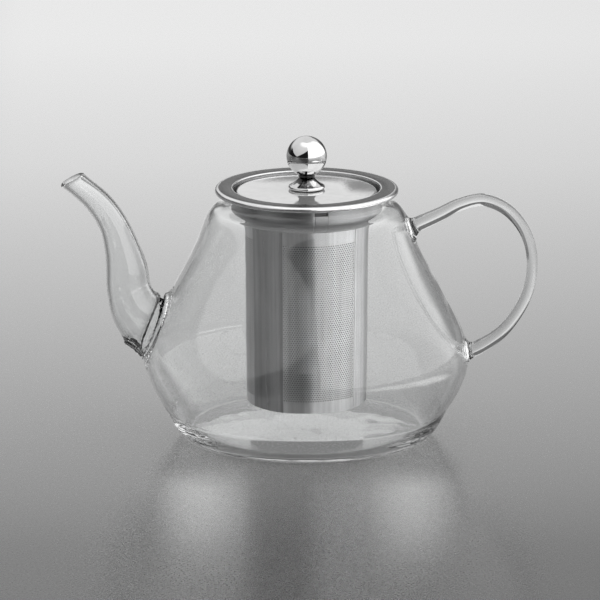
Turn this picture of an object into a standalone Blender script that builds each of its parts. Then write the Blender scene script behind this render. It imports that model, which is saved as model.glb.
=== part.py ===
"""Glass teapot with a steel infuser basket and a drop-in lid. Metres, +Z up.

The origin is the centre of the flat underside, on the vessel's axis. +X points to the handle and
-X to the spout. The infuser basket hangs by its flange on the glass rim and lifts straight out
along +Z. The lid drops inside the flange, stands on the collar's shoulder and lifts out along +Z.
"""

from math import asin, atan2, cos, degrees, pi, radians, sin

import bmesh
import bpy
from mathutils import Vector

MM = 0.001
GAP = 0.3  # between neighbouring pieces, in millimetres
ROUND_STEPS = 48  # facets round a large turned piece
SMALL_STEPS = 24  # facets round a knob, a screw or a washer
SMOOTH_ANGLE = radians(35)

# Glass vessel, in millimetres
BASE_FLAT_RADIUS = 50.0
CREASE = (61.8, 12.2)  # where the bowl-shaped bottom meets the belly
BELLY = (71.4, 35.0)
CONE_TOP = (47.8, 89.5)
SHOULDER = (40.5, 103.2)
NECK_RADIUS = 36.6
NECK_START = 107.5
RIM_TOP = 110.9
WALL = 1.9
FLOOR_THICKNESS = 3.4
# The two middle control points (radius, height) of each curve of the outside, from the base up
BOTTOM_CURVE = ((55.5, 0.0), (59.3, 6.2))
BELLY_CURVE = ((65.2, 17.2), (71.4, 26.5))
CONE_CURVE = ((71.6, 49.5), (55.0, 70.0))
SHOULDER_CURVE = ((45.6, 95.5), (44.2, 101.2))
NECK_CURVE = ((38.2, 104.5), (36.6, 105.3))

# Spout: centreline x and z and outer radius, from inside the root to the mouth
SPOUT_STATIONS = (
    (-58.0, 45.0, 14.0),
    (-67.5, 49.5, 13.6),
    (-74.6, 56.4, 11.6),
    (-78.2, 65.5, 9.9),
    (-79.2, 75.0, 9.2),
    (-81.2, 84.5, 7.8),
    (-85.2, 95.6, 6.4),
    (-91.8, 105.6, 5.8),
    (-101.7, 115.1, 5.1),
)
SPOUT_WALL = 1.3
SPOUT_STEPS = 24

# Handle: centreline x and z, from inside the upper joint to inside the lower joint
HANDLE_STATIONS = (
    (42.0, 92.2),
    (57.4, 99.2),
    (67.5, 104.2),
    (78.0, 106.2),
    (88.5, 101.6),
    (96.4, 91.5),
    (99.3, 78.5),
    (96.8, 63.3),
    (87.6, 48.3),
    (76.0, 39.6),
    (64.0, 35.0),
)
HANDLE_THICKNESS = 4.8
HANDLE_WIDTH = 8.0
HANDLE_JOINT_SPREAD = 1.45  # how much wider the rod is where it is fused to the body
HANDLE_SIDES = 12
HANDLE_SPREAD_POINTS = 5  # how many points of the path the wider end takes
PATH_STEPS = 3  # points for each span between two stations

# Infuser basket
FLANGE_TOP = 112.0
FLANGE_SHEET = 0.8
FLANGE_RADIUS = 40.4
FLANGE_BORE = 32.4
FLANGE_BEAD = 1.25  # radius of the rolled outer edge
FLANGE_EASE = 0.3  # chamfer round the flange's bore
COLLAR_RADIUS = 33.0
COLLAR_SHEET = 0.6
COLLAR_BEND_TOP = 102.2
COLLAR_BOTTOM = 98.0
COLLAR_LIP_RADIUS = 27.75
COLLAR_CURVE = ((33.0, 100.3), (31.0, 99.3))  # controls of the bend in to the lip
COLLAR_SLOT_ANGLES = (6.0, 16.5)  # degrees round from the front towards the handle
COLLAR_SLOT_HEIGHT = 2.9
SLOT_CUTTER_RADII = (28.0, 38.0)  # either side of the collar's wall
TUBE_TOP_RADIUS = 27.2
TUBE_BOTTOM_RADIUS = 26.4
TUBE_SHEET = 0.5
TUBE_TOP = 100.2
TUBE_BOTTOM = 15.6
FLOOR_LIP_HEIGHT = 4.0
FLOOR_BEND = 1.0

# Lid and knob
LID_RADIUS = 31.2
LID_SHEET = 0.6
LID_TOP = 111.3  # at the middle of the shallow dome
LID_EDGE = 110.8  # where the dome meets the rounded corner
LID_SKIRT_BOTTOM = 100.75
LID_CORNER = 1.2
LID_FLAT_RADIUS = 9.0  # flat seat for the knob's foot
LID_CURVE = ((16.0, 111.3), (23.0, 111.0))  # controls of the dome, from the seat to the edge
SCREW_RADIUS = 2.0
SCREW_CLEARANCE = 0.4
SCREW_HEAD_RADIUS = 3.8
SCREW_HEAD_HEIGHT = 2.2
SCREW_SLOT = (0.9, 1.0)  # width and depth
SCREW_POINT = 0.5  # chamfer at the tip
SCREW_HEAD_EASE = 0.9  # chamfer round the head
SCREW_TOP = 123.5
WASHER_RADIUS = 5.5
WASHER_THICKNESS = 0.8
FOOT_RADIUS = 8.0
FOOT_EDGE = 1.5
FOOT_CURVE = ((5.9, 113.8), (4.3, 115.2))  # controls of the flare, from the edge to the neck
NECK_OF_KNOB_RADIUS = 3.6
FOOT_TOP = 116.4
BALL_RADIUS = 8.95
BALL_CENTRE = 126.1
BALL_STEPS = 16


def clear_scene():
    for obj in list(bpy.data.objects):
        bpy.data.objects.remove(obj)


def make_material(name, colour, roughness, metallic=0.0, transmission=0.0, ior=1.45):
    material = bpy.data.materials.new(name)
    material.use_nodes = True
    shader = material.node_tree.nodes["Principled BSDF"]
    shader.inputs["Base Color"].default_value = (*colour, 1.0)
    shader.inputs["Roughness"].default_value = roughness
    shader.inputs["Metallic"].default_value = metallic
    shader.inputs["Transmission Weight"].default_value = transmission
    shader.inputs["IOR"].default_value = ior
    material.diffuse_color = (*colour, 1.0)
    return material


def bezier(start, first, second, end, steps):
    """Points along a cubic curve, without its first point."""
    points = []
    for i in range(1, steps + 1):
        t = i / steps
        weights = ((1 - t) ** 3, 3 * t * (1 - t) ** 2, 3 * t * t * (1 - t), t**3)
        controls = (start, first, second, end)
        points.append(tuple(sum(w * c[k] for w, c in zip(weights, controls)) for k in (0, 1)))
    return points


def arc(centre, radius, start, end, steps):
    """Points round a circle from one angle to another, in degrees, both ends included."""
    angles = (radians(start + (end - start) * i / steps) for i in range(steps + 1))
    return [(centre[0] + radius * cos(a), centre[1] + radius * sin(a)) for a in angles]


def smooth_path(stations, steps):
    """Catmull-Rom curve through the stations, with a number of points for each span."""
    before = [2 * a - b for a, b in zip(stations[0], stations[1])]
    after = [2 * a - b for a, b in zip(stations[-1], stations[-2])]
    knots = [before, *stations, after]
    path = []
    for a, b, c, d in zip(knots, knots[1:], knots[2:], knots[3:]):
        for i in range(steps):
            t = i / steps
            path.append(
                tuple(
                    0.5 * (2 * q + (r - p) * t + (2 * p - 5 * q + 4 * r - s) * t**2
                           + (3 * q - p - 3 * r + s) * t**3)
                    for p, q, r, s in zip(a, b, c, d)
                )
            )
    path.append(tuple(stations[-1]))
    return path


def directions(path):
    """Unit tangent at each point of a path in the XZ plane."""
    found = []
    for i in range(len(path)):
        ahead = path[min(i + 1, len(path) - 1)]
        behind = path[max(i - 1, 0)]
        angle = atan2(ahead[1] - behind[1], ahead[0] - behind[0])
        found.append((cos(angle), sin(angle)))
    return found


def offset_inwards(profile, depths):
    """The profile moved to its left, each point by its own depth."""
    moved = []
    for (radius, height), (along, up), depth in zip(profile, directions(profile), depths):
        moved.append((radius - up * depth, height + along * depth))
    return moved


def add_object(name, mesh_builder, material):
    """A new object from a bmesh in millimetres, its faces turned out and shaded smooth."""
    bmesh.ops.recalc_face_normals(mesh_builder, faces=mesh_builder.faces)
    bmesh.ops.scale(mesh_builder, vec=(MM, MM, MM), verts=mesh_builder.verts)
    mesh = bpy.data.meshes.new(name)
    mesh_builder.to_mesh(mesh)
    mesh_builder.free()
    mesh.materials.append(material)
    mesh.shade_smooth()
    mesh.set_sharp_from_angle(angle=SMOOTH_ANGLE)
    obj = bpy.data.objects.new(name, mesh)
    bpy.context.scene.collection.objects.link(obj)
    return obj


def turned(name, profile, material, steps=ROUND_STEPS, closed=True):
    """A body of revolution about Z. An open profile starts and ends on the axis."""
    builder = bmesh.new()
    verts = [builder.verts.new((radius, 0.0, height)) for radius, height in profile]
    pairs = list(zip(verts, verts[1:]))
    if closed:
        pairs.append((verts[-1], verts[0]))
    edges = [builder.edges.new(pair) for pair in pairs]
    bmesh.ops.spin(
        builder,
        geom=verts + edges,
        cent=(0, 0, 0),
        axis=(0, 0, 1),
        angle=2 * pi,
        steps=steps,
        use_merge=True,
    )
    bmesh.ops.remove_doubles(builder, verts=builder.verts, dist=1e-5)
    return add_object(name, builder, material)


def lofted(name, rings, material):
    """A skin through rings of points, closed at both ends."""
    builder = bmesh.new()
    loops = [[builder.verts.new(point) for point in ring] for ring in rings]
    for loop, following in zip(loops, loops[1:]):
        for i, corner in enumerate(loop):
            before = i - 1
            builder.faces.new((loop[before], corner, following[i], following[before]))
    builder.faces.new(loops[0])
    builder.faces.new(loops[-1])
    return add_object(name, builder, material)


def round_rings(path, radii, steps):
    """Circles square to a path in the XZ plane."""
    rings = []
    for (x, z), (along, up), radius in zip(path, directions(path), radii):
        across = Vector((-up, 0, along)) * radius
        sideways = Vector((0, 1, 0)) * radius
        angles = [2 * pi * i / steps for i in range(steps)]
        rings.append([Vector((x, 0, z)) + across * cos(a) + sideways * sin(a) for a in angles])
    return rings


def strap_rings(path, scales):
    """Rounded oblongs square to a path in the XZ plane, each scaled by its own factor."""
    rings = []
    for (x, z), (along, up), scale in zip(path, directions(path), scales):
        across = Vector((-up, 0, along)) * HANDLE_THICKNESS / 2 * scale
        sideways = Vector((0, 1, 0)) * HANDLE_WIDTH / 2 * scale
        ring = []
        for i in range(HANDLE_SIDES):
            angle = 2 * pi * (i + 0.5) / HANDLE_SIDES
            flat = max(abs(cos(angle)), abs(sin(angle))) ** 0.25
            ring.append(Vector((x, 0, z)) + (across * cos(angle) + sideways * sin(angle)) / flat)
        rings.append(ring)
    return rings


def boolean(obj, other, operation, name):
    modifier = obj.modifiers.new(name, "BOOLEAN")
    modifier.operation = operation
    modifier.object = other


def as_cutter(obj):
    obj.hide_render = True
    obj.display_type = "WIRE"
    return obj


def outer_profile():
    """The vessel's outside from the edge of the flat underside up to the neck."""
    profile = [(BASE_FLAT_RADIUS, 0.0)]
    profile += bezier(profile[-1], *BOTTOM_CURVE, CREASE, 4)
    profile += bezier(profile[-1], *BELLY_CURVE, BELLY, 4)
    profile += bezier(profile[-1], *CONE_CURVE, CONE_TOP, 7)
    profile += bezier(profile[-1], *SHOULDER_CURVE, SHOULDER, 4)
    profile += bezier(profile[-1], *NECK_CURVE, (NECK_RADIUS, NECK_START), 3)
    return profile


def inner_profile(outer):
    """The vessel's inside: the outside moved in by the wall, which thickens to the floor."""
    depths = []
    for _, height in outer:
        share = max(0.0, 1.0 - height / CREASE[1])
        depths.append(WALL + (FLOOR_THICKNESS - WALL) * share)
    return offset_inwards(outer, depths)


def make_glass_body(glass):
    outer = outer_profile()
    inner = inner_profile(outer)
    half_wall = WALL / 2
    rim = arc((NECK_RADIUS - half_wall, RIM_TOP - half_wall), half_wall, 0, 180, 4)
    profile = [(0.0, 0.0), *outer, *rim, *reversed(inner), (0.0, FLOOR_THICKNESS)]
    return turned("glass_body", profile, glass, closed=False)


def make_body_cutter(glass):
    """A filled copy of the vessel, larger all round by the gap, that trims what is fused to it."""
    outer = outer_profile()
    grown = offset_inwards(outer, [-GAP] * len(outer))
    profile = [(0.0, -GAP), *grown, (NECK_RADIUS + GAP, RIM_TOP), (0.0, RIM_TOP)]
    return as_cutter(turned("body_cutter", profile, glass, closed=False))


def make_spout(glass, body, body_cutter):
    path = smooth_path(SPOUT_STATIONS, PATH_STEPS)
    centres = [(x, z) for x, z, _ in path]
    outer_radii = [radius for _, _, radius in path]
    bore_radii = [radius - SPOUT_WALL for radius in outer_radii]
    spout = lofted("glass_spout", round_rings(centres, outer_radii, SPOUT_STEPS), glass)
    x, z = centres[-1]
    along, up = directions(centres)[-1]
    bore_path = [*centres[:-1], (x + along, z + up)]
    bore = lofted("spout_bore", round_rings(bore_path, bore_radii, SPOUT_STEPS), glass)
    as_cutter(bore)
    boolean(spout, bore, "DIFFERENCE", "bore")
    boolean(spout, body_cutter, "DIFFERENCE", "fit to body")
    boolean(body, bore, "DIFFERENCE", "spout hole")


def make_handle(glass, body_cutter):
    path = smooth_path(HANDLE_STATIONS, PATH_STEPS)
    scales = []
    for i in range(len(path)):
        from_end = min(i, len(path) - 1 - i) / HANDLE_SPREAD_POINTS
        scales.append(1.0 + (HANDLE_JOINT_SPREAD - 1.0) * max(0.0, 1.0 - from_end) ** 2)
    handle = lofted("glass_handle", strap_rings(path, scales), glass)
    boolean(handle, body_cutter, "DIFFERENCE", "fit to body")


def make_flange(steel):
    underside = FLANGE_TOP - FLANGE_SHEET
    bead = (FLANGE_RADIUS - FLANGE_BEAD, FLANGE_TOP - FLANGE_BEAD)
    profile = [(FLANGE_BORE + FLANGE_EASE, underside), (FLANGE_BORE, underside + FLANGE_EASE)]
    profile += [(FLANGE_BORE, FLANGE_TOP - FLANGE_EASE), (FLANGE_BORE + FLANGE_EASE, FLANGE_TOP)]
    meets_sheet = -180 - degrees(asin((underside - bead[1]) / FLANGE_BEAD))
    profile += arc(bead, FLANGE_BEAD, 90, meets_sheet, 9)
    turned("infuser_flange", profile[::-1], steel)


def collar_profile():
    """The collar's outside, from its top edge down to its lip on the tube."""
    lip = (COLLAR_LIP_RADIUS, COLLAR_BOTTOM)
    profile = [(COLLAR_RADIUS, FLANGE_TOP - FLANGE_SHEET - GAP), (COLLAR_RADIUS, COLLAR_BEND_TOP)]
    return profile + bezier(profile[-1], *COLLAR_CURVE, lip, 4)


def make_collar(steel):
    outer = collar_profile()
    inner = offset_inwards(outer, [-COLLAR_SHEET] * len(outer))
    collar = turned("infuser_collar", [*outer, *reversed(inner)], steel)
    cutter = as_cutter(make_slot_cutter(steel))
    boolean(collar, cutter, "DIFFERENCE", "seam slot")


def make_slot_cutter(steel):
    """A wedge through the collar's wall, from its top edge down to the foot of the slot."""
    top = FLANGE_TOP
    bottom = FLANGE_TOP - FLANGE_SHEET - GAP - COLLAR_SLOT_HEIGHT
    first, last = (radians(a - 90) for a in COLLAR_SLOT_ANGLES)
    near, far = SLOT_CUTTER_RADII
    corners = ((near, first), (far, first), (far, last), (near, last))
    rings = [[Vector((r * cos(a), r * sin(a), height)) for r, a in corners] for height in (bottom, top)]
    return lofted("slot_cutter", rings, steel)


def make_tube(steel):
    profile = [
        (TUBE_TOP_RADIUS, TUBE_TOP),
        (TUBE_BOTTOM_RADIUS, TUBE_BOTTOM),
        (TUBE_BOTTOM_RADIUS - TUBE_SHEET, TUBE_BOTTOM),
        (TUBE_TOP_RADIUS - TUBE_SHEET, TUBE_TOP),
    ]
    turned("infuser_tube", profile, steel)


def make_floor(steel):
    """A disc with an upturned lip that stands inside the tube's lower end."""
    radius = TUBE_BOTTOM_RADIUS - TUBE_SHEET - GAP
    lip_top = TUBE_BOTTOM + FLOOR_LIP_HEIGHT
    corner = (radius - FLOOR_BEND, TUBE_BOTTOM + FLOOR_BEND)
    bend = arc(corner, FLOOR_BEND, -90, 0, 3)
    inner_bend = arc(corner, FLOOR_BEND - TUBE_SHEET, 0, -90, 3)
    profile = [(0.0, TUBE_BOTTOM), *bend, (radius, lip_top), (radius - TUBE_SHEET, lip_top)]
    profile += [*inner_bend, (0.0, TUBE_BOTTOM + TUBE_SHEET)]
    turned("infuser_floor", profile, steel, closed=False)


def make_lid_cover(steel):
    """One pressed sheet: a shallow dome, a rounded corner and a skirt that stands on the collar."""
    hole = SCREW_RADIUS + SCREW_CLEARANCE
    corner = (LID_RADIUS - LID_CORNER, LID_EDGE - LID_CORNER)
    dome = [(hole, LID_TOP), (LID_FLAT_RADIUS, LID_TOP)]
    dome += bezier(dome[-1], *LID_CURVE, (corner[0], LID_EDGE), 4)
    inner = [(LID_RADIUS - LID_SHEET, LID_SKIRT_BOTTOM)]
    inner += arc(corner, LID_CORNER - LID_SHEET, 0, 90, 3)
    inner += [(radius, height - LID_SHEET) for radius, height in reversed(dome[:-1])]
    outer = [*dome[:-1], *arc(corner, LID_CORNER, 90, 0, 4), (LID_RADIUS, LID_SKIRT_BOTTOM)]
    turned("lid_cover", [*outer, *inner], steel)


def make_knob_foot(steel):
    bottom = LID_TOP + GAP
    bore = SCREW_RADIUS + SCREW_CLEARANCE
    edge = arc((FOOT_RADIUS - FOOT_EDGE / 2, bottom + FOOT_EDGE / 2), FOOT_EDGE / 2, -90, 60, 5)
    cone = bezier(edge[-1], *FOOT_CURVE, (NECK_OF_KNOB_RADIUS, FOOT_TOP), 5)
    profile = [(bore, bottom), *edge, *cone, (bore, FOOT_TOP)]
    turned("knob_foot", profile, steel, SMALL_STEPS)


def make_knob_ball(steel):
    """A ball with a short flat-ended neck and a blind hole for the screw."""
    hole = SCREW_RADIUS + SCREW_CLEARANCE / 2
    bottom = FOOT_TOP + GAP
    start = degrees(atan2(NECK_OF_KNOB_RADIUS, BALL_CENTRE - bottom)) - 90
    sphere = arc((0.0, BALL_CENTRE), BALL_RADIUS, start, 90, BALL_STEPS)
    sphere[-1] = (0.0, BALL_CENTRE + BALL_RADIUS)
    profile = [(0.0, SCREW_TOP + GAP), (hole, SCREW_TOP + GAP), (hole, bottom)]
    profile += [(NECK_OF_KNOB_RADIUS, bottom), *sphere[1:]]
    turned("knob_ball", profile, steel, SMALL_STEPS, closed=False)


def make_washer(steel):
    top = LID_TOP - LID_SHEET - GAP
    bore = SCREW_RADIUS + SCREW_CLEARANCE
    profile = [
        (bore, top),
        (WASHER_RADIUS, top),
        (WASHER_RADIUS, top - WASHER_THICKNESS),
        (bore, top - WASHER_THICKNESS),
    ]
    turned("knob_washer", profile, steel, SMALL_STEPS)


def make_screw(steel):
    """A slotted pan-head screw that enters from under the lid."""
    seat = LID_TOP - LID_SHEET - WASHER_THICKNESS - 2 * GAP
    crown = seat - SCREW_HEAD_HEIGHT
    profile = [(0.0, SCREW_TOP), (SCREW_RADIUS - SCREW_POINT, SCREW_TOP)]
    profile += [(SCREW_RADIUS, SCREW_TOP - SCREW_POINT), (SCREW_RADIUS, seat)]
    profile += [(SCREW_HEAD_RADIUS, seat), (SCREW_HEAD_RADIUS, crown + SCREW_HEAD_EASE)]
    profile += [(SCREW_HEAD_RADIUS - SCREW_HEAD_EASE, crown), (0.0, crown)]
    screw = turned("knob_screw", profile, steel, SMALL_STEPS, closed=False)
    half_width = SCREW_SLOT[0] / 2
    reach = SCREW_HEAD_RADIUS + 1.0
    corners = ((-reach, -half_width), (reach, -half_width), (reach, half_width), (-reach, half_width))
    levels = (crown - 1.0, crown + SCREW_SLOT[1])
    rings = [[Vector((x, y, z)) for x, y in corners] for z in levels]
    slot = as_cutter(lofted("driver_slot_cutter", rings, steel))
    boolean(screw, slot, "DIFFERENCE", "driver slot")


def main():
    clear_scene()
    glass = make_material("clear_glass", (0.95, 0.97, 0.97), 0.02, transmission=1.0, ior=1.47)
    mirror_steel = make_material("polished_steel", (0.78, 0.78, 0.78), 0.08, metallic=1.0)
    satin_steel = make_material("satin_steel", (0.62, 0.62, 0.62), 0.28, metallic=1.0)
    body = make_glass_body(glass)
    body_cutter = make_body_cutter(glass)
    make_spout(glass, body, body_cutter)
    make_handle(glass, body_cutter)
    make_flange(satin_steel)
    make_collar(satin_steel)
    make_tube(satin_steel)
    make_floor(satin_steel)
    make_lid_cover(mirror_steel)
    make_knob_foot(mirror_steel)
    make_knob_ball(mirror_steel)
    make_washer(satin_steel)
    make_screw(satin_steel)


main()
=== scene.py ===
"""Looks of the glass teapot: fused glass vessel, perforated steel infuser, mirror-polished lid.

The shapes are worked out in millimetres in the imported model's own frame: +Z up, +X towards the
handle, the origin under the middle of the base. Every piece stands for one or more CAD nodes.
"""

from math import atan2, cos, pi, radians, sin

import bmesh
import bpy
import numpy as np
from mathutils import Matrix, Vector


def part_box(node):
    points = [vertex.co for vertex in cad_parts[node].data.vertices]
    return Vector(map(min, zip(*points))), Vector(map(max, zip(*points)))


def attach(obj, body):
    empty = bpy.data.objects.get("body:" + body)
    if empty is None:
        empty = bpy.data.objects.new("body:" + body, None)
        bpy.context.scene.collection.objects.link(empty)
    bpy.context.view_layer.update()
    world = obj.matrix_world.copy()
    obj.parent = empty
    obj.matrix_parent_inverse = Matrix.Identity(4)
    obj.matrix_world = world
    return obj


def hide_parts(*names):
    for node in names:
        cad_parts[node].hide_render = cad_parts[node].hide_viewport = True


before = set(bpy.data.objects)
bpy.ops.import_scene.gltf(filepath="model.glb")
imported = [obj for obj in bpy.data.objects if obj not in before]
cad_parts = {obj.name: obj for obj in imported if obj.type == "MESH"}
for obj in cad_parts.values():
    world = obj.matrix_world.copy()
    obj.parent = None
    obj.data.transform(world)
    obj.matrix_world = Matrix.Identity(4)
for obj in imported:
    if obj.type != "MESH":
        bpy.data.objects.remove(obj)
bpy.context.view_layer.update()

MM = 0.001

# Glass vessel: the outside's outline as (radius, height), as in the CAD source
BASE_FLAT_RADIUS = 50.0
CREASE = (61.8, 12.2)
BELLY = (71.4, 35.0)
CONE_TOP = (47.8, 89.5)
SHOULDER = (40.5, 103.2)
NECK_RADIUS = 36.6
NECK_START = 107.5
RIM_TOP = 110.9
WALL = 1.9
FLOOR_THICKNESS = 3.4
BOTTOM_CURVE = ((55.5, 0.0), (59.3, 6.2))
BELLY_CURVE = ((65.2, 17.2), (71.4, 26.5))
CONE_CURVE = ((71.6, 49.5), (55.0, 70.0))
SHOULDER_CURVE = ((45.6, 95.5), (44.2, 101.2))
NECK_CURVE = ((38.2, 104.5), (36.6, 105.3))
VESSEL_STEPS = 224

# Spout: centreline x and z and outer radius, as in the CAD source
SPOUT_STATIONS = (
    (-58.0, 45.0, 14.0), (-67.5, 49.5, 13.6), (-74.6, 56.4, 11.6),
    (-78.2, 65.5, 9.9), (-79.2, 75.0, 9.2), (-81.2, 84.5, 7.8),
    (-85.2, 95.6, 6.4), (-91.8, 105.6, 5.8), (-101.7, 115.1, 5.1),
)
SPOUT_WALL = 1.3
SPOUT_SIDES = 84
SPOUT_SPAN_STEPS = 12
MOUTH_TILT = radians(19)  # the mouth is ground flatter than square to the spout
MOUTH_REACH = 1.1  # how far the lip leans out for pouring
MOUTH_BEAD = 0.7  # how far the fire-polished lip swells
BEAD_IN_WALL = 0.6  # share of the swelling that thickens the wall
SPOUT_FILLET = 6.0
BORE_FILLET = 2.5
SPOUT_JOINT = (Vector((-69.0, 0, 47.0)), 18.0)  # ball round the spout's root

# Handle: centreline x and z, as in the CAD source
HANDLE_STATIONS = (
    (42.0, 92.2), (57.4, 99.2), (67.5, 104.2), (78.0, 106.2),
    (88.5, 101.6), (96.4, 91.5), (99.3, 78.5), (96.8, 63.3),
    (87.6, 48.3), (76.0, 39.6), (64.0, 35.0),
)
HANDLE_THICKNESS = 4.8
HANDLE_WIDTH = 8.0
HANDLE_CORNER = 2.1
HANDLE_SIDES = 40
HANDLE_SPAN_STEPS = 10
HANDLE_FILLET = 1.6
HANDLE_FLARE = 0.18  # how much wider the strap is where it meets its pads
# Pads that fuse the handle on: centre x and z, tilt of the wall, and half sizes out, along and across
HANDLE_PADS = (
    ((46.4, 93.2), radians(30), (2.2, 3.8, 5.2)),
    ((70.6, 38.2), radians(-4), (2.2, 4.0, 5.2)),
)
PAD_FILLET = 2.0
JOINT_REACH = 3.0  # how far outside the joints' balls the mesh is made finer
JOINT_EDGE = 0.9  # longest edge there
ROUNDED_REACH = 4.0  # how far outside them the mesh is moved on to the fused surface

# Infuser
PITCH = 1.1  # between the holes of the perforated sheet
HOLE_RADIUS = 0.32
PERFORATED_BOTTOM = 20.6
PERFORATED_TOP = 91.6
TUBE_BOTTOM_RADIUS = 26.4
TUBE_SHEET = 0.5
PANELS = 4
SEAM_FIRST, SEAM_LAST = radians(-60.0), radians(-23.0)  # plain strip with the seam, from the front
PLAIN_FIRST, PLAIN_LAST = radians(50.5), radians(84.0)  # plain strip on the right
SEAM_LINE_TOP, SEAM_LINE_BOTTOM = radians(-44.2), radians(-40.8)
SEAM_STEP = 0.22
SEAM_GROOVE = 0.18  # half width of the pressed line beside the seam
MARGIN_GROOVE = 0.22  # and of the one on the right
MARGIN_GROOVE_PLACE = 0.5  # from the edge of the plain strip
GROOVE_DEPTH = 0.4
STRIP_COLUMNS, STRIP_ROWS = 45, 300
STRIP_FADE = 1.5  # over which the relief dies out at the strip's edges
WELD_PITCH = 7.3
WELD_RADIUS = 0.75
WELD_DEPTH = 0.3
WELD_PLACE = 0.4  # from the seam
FLANGE_BORE = 32.4
FLANGE_SHEET = 0.8
FLANGE_BEAD = 1.25
COLLAR_SHEET = 0.6
COLLAR_BEND_TOP = 102.2
COLLAR_LIP_RADIUS = 27.75
COLLAR_CURVE = ((33.0, 100.3), (31.0, 99.3))
COLLAR_SEAM = radians(6.0)
COLLAR_TONGUE = radians(10.5)
COLLAR_SEAM_SLANT = radians(1.6)
COLLAR_STEP = 0.22
COLLAR_GROOVE = 0.2  # depth and half width of the line at the seam
COLLAR_SLOT_FOOT = 106.4

# Looks of the infuser, with painted shade on the flange's flat and inside the tube, in metres and as
# shares of the steel's own tone
SHADED_FLAT = (0.0329, 0.0390)  # radii between which painted shade darkens the flange's flat
SHADED_FLAT_EDGE = 0.0003
# how dark the painted shade on the flange's flat is
FLAT_SHADE_TONE = 0.10
# how dark the painted shade inside the tube is
INSIDE_SHADE_TONE = 0.15

# Lid and knob
LID_SHEET = 0.6
LID_EDGE = 110.8
LID_CORNER = 1.2
LID_FLAT_RADIUS = 9.0
LID_CURVE = ((16.0, 111.3), (23.0, 111.0))
SCREW_RADIUS = 2.0
SCREW_BORE = 2.4  # holes that the screw passes through
SCREW_HEAD_RADIUS = 3.8
SCREW_HEAD_HEIGHT = 2.2
THREAD_PITCH = 0.7
THREAD_DEPTH = 0.35
FOOT_EDGE = 1.5
FOOT_CURVE = ((5.9, 113.8), (4.3, 115.2))
NECK_OF_KNOB_RADIUS = 3.6

# Looks of the lid and knob, with painted shade on the lid's skirt and the knob's waist, in metres and
# as shares of the steel's own tone
LID_POLISH = 0.72  # how metallic the lid is, which is hazier than the knob
SHADED_SKIRT = (0.1094, 0.1099)  # heights between which the painted shade on the lid's skirt ends
# how dark the painted shade on the lid's skirt is
SKIRT_SHADE_TONE = 0.25
# Where painted shade darkens the knob's waist and the cone of its foot:
KNOB_SHADED_WAIST = (0.1118, 0.1190, 0.1162, 0.0078)  # lowest, highest, top of the foot, and radius

# Camera: the photograph's angle, from far away
CAMERA_ELEVATION = radians(13.75)
CAMERA_DISTANCE = 5000.0
CAMERA_AIM = (-2.92, 14.07, 57.5)
VIEW_WIDTH = 265.25  # how much the picture spans at the teapot
SENSOR = 36.0


# -------- curves


def bezier(start, first, second, end, steps):
    """Points along a cubic curve, without its first point."""
    t = np.arange(1, steps + 1)[:, None] / steps
    a, b, c, d = (np.array(p, float) for p in (start, first, second, end))
    curve = (1 - t) ** 3 * a + 3 * t * (1 - t) ** 2 * b + 3 * t * t * (1 - t) * c + t**3 * d
    return [tuple(p) for p in curve]


def arc(centre, radius, start, end, steps):
    """Points round a circle from one angle to another, in degrees, both ends included."""
    angles = np.radians(np.linspace(start, end, steps + 1))
    return [(centre[0] + radius * cos(a), centre[1] + radius * sin(a)) for a in angles]


def smooth_path(stations, steps):
    """Catmull-Rom curve through the stations, with a number of points for each span."""
    knots = np.array(stations, float)
    knots = np.vstack([2 * knots[0] - knots[1], knots, 2 * knots[-1] - knots[-2]])
    path = []
    for p, q, r, s in zip(knots, knots[1:], knots[2:], knots[3:]):
        for t in np.arange(steps) / steps:
            path.append(0.5 * (2 * q + (r - p) * t + (2 * p - 5 * q + 4 * r - s) * t**2
                               + (3 * q - p - 3 * r + s) * t**3))
    path.append(knots[-2])
    return np.array(path)


def offset_left(profile, depths):
    """The outline moved to its left, each point by its own depth."""
    points = np.array(profile, float)
    ways = np.gradient(points, axis=0)
    ways /= np.linalg.norm(ways, axis=1)[:, None]
    sides = np.column_stack([-ways[:, 1], ways[:, 0]])
    return [tuple(p) for p in points + sides * np.array(depths)[:, None]]


def outer_profile():
    """The vessel's outside from the edge of the flat underside up to the neck."""
    profile = [(BASE_FLAT_RADIUS, 0.0)]
    for bends, end, steps in (
        (BOTTOM_CURVE, CREASE, 20),
        (BELLY_CURVE, BELLY, 24),
        (CONE_CURVE, CONE_TOP, 40),
        (SHOULDER_CURVE, SHOULDER, 20),
        (NECK_CURVE, (NECK_RADIUS, NECK_START), 12),
    ):
        profile += bezier(profile[-1], *bends, end, steps)
    return profile


def inner_profile(outer):
    """The vessel's inside: the wall thickens below the crease towards the floor."""
    shares = np.maximum(0.0, 1.0 - np.array(outer)[:, 1] / CREASE[1])
    return offset_left(outer, WALL + (FLOOR_THICKNESS - WALL) * shares)


# -------- meshes


def revolved(profile, steps, closed):
    """Points and faces of an outline turned about Z. A point on the axis stays single."""
    points, rings, faces = [], [], []
    for radius, height in profile:
        if radius < 1e-6:
            rings.append([len(points)] * steps)
            points.append((0.0, 0.0, height))
            continue
        rings.append(list(range(len(points), len(points) + steps)))
        angles = 2 * pi * np.arange(steps) / steps
        points += [(radius * cos(a), radius * sin(a), height) for a in angles]
    pairs = list(zip(rings, rings[1:]))
    if closed:
        pairs.append((rings[-1], rings[0]))
    for low, high in pairs:
        for i in range(steps):
            following = (i + 1) % steps
            corners = (low[i], low[following], high[following], high[i])
            faces.append(tuple(dict.fromkeys(corners)))
    return points, [f for f in faces if len(f) > 2]


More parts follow.
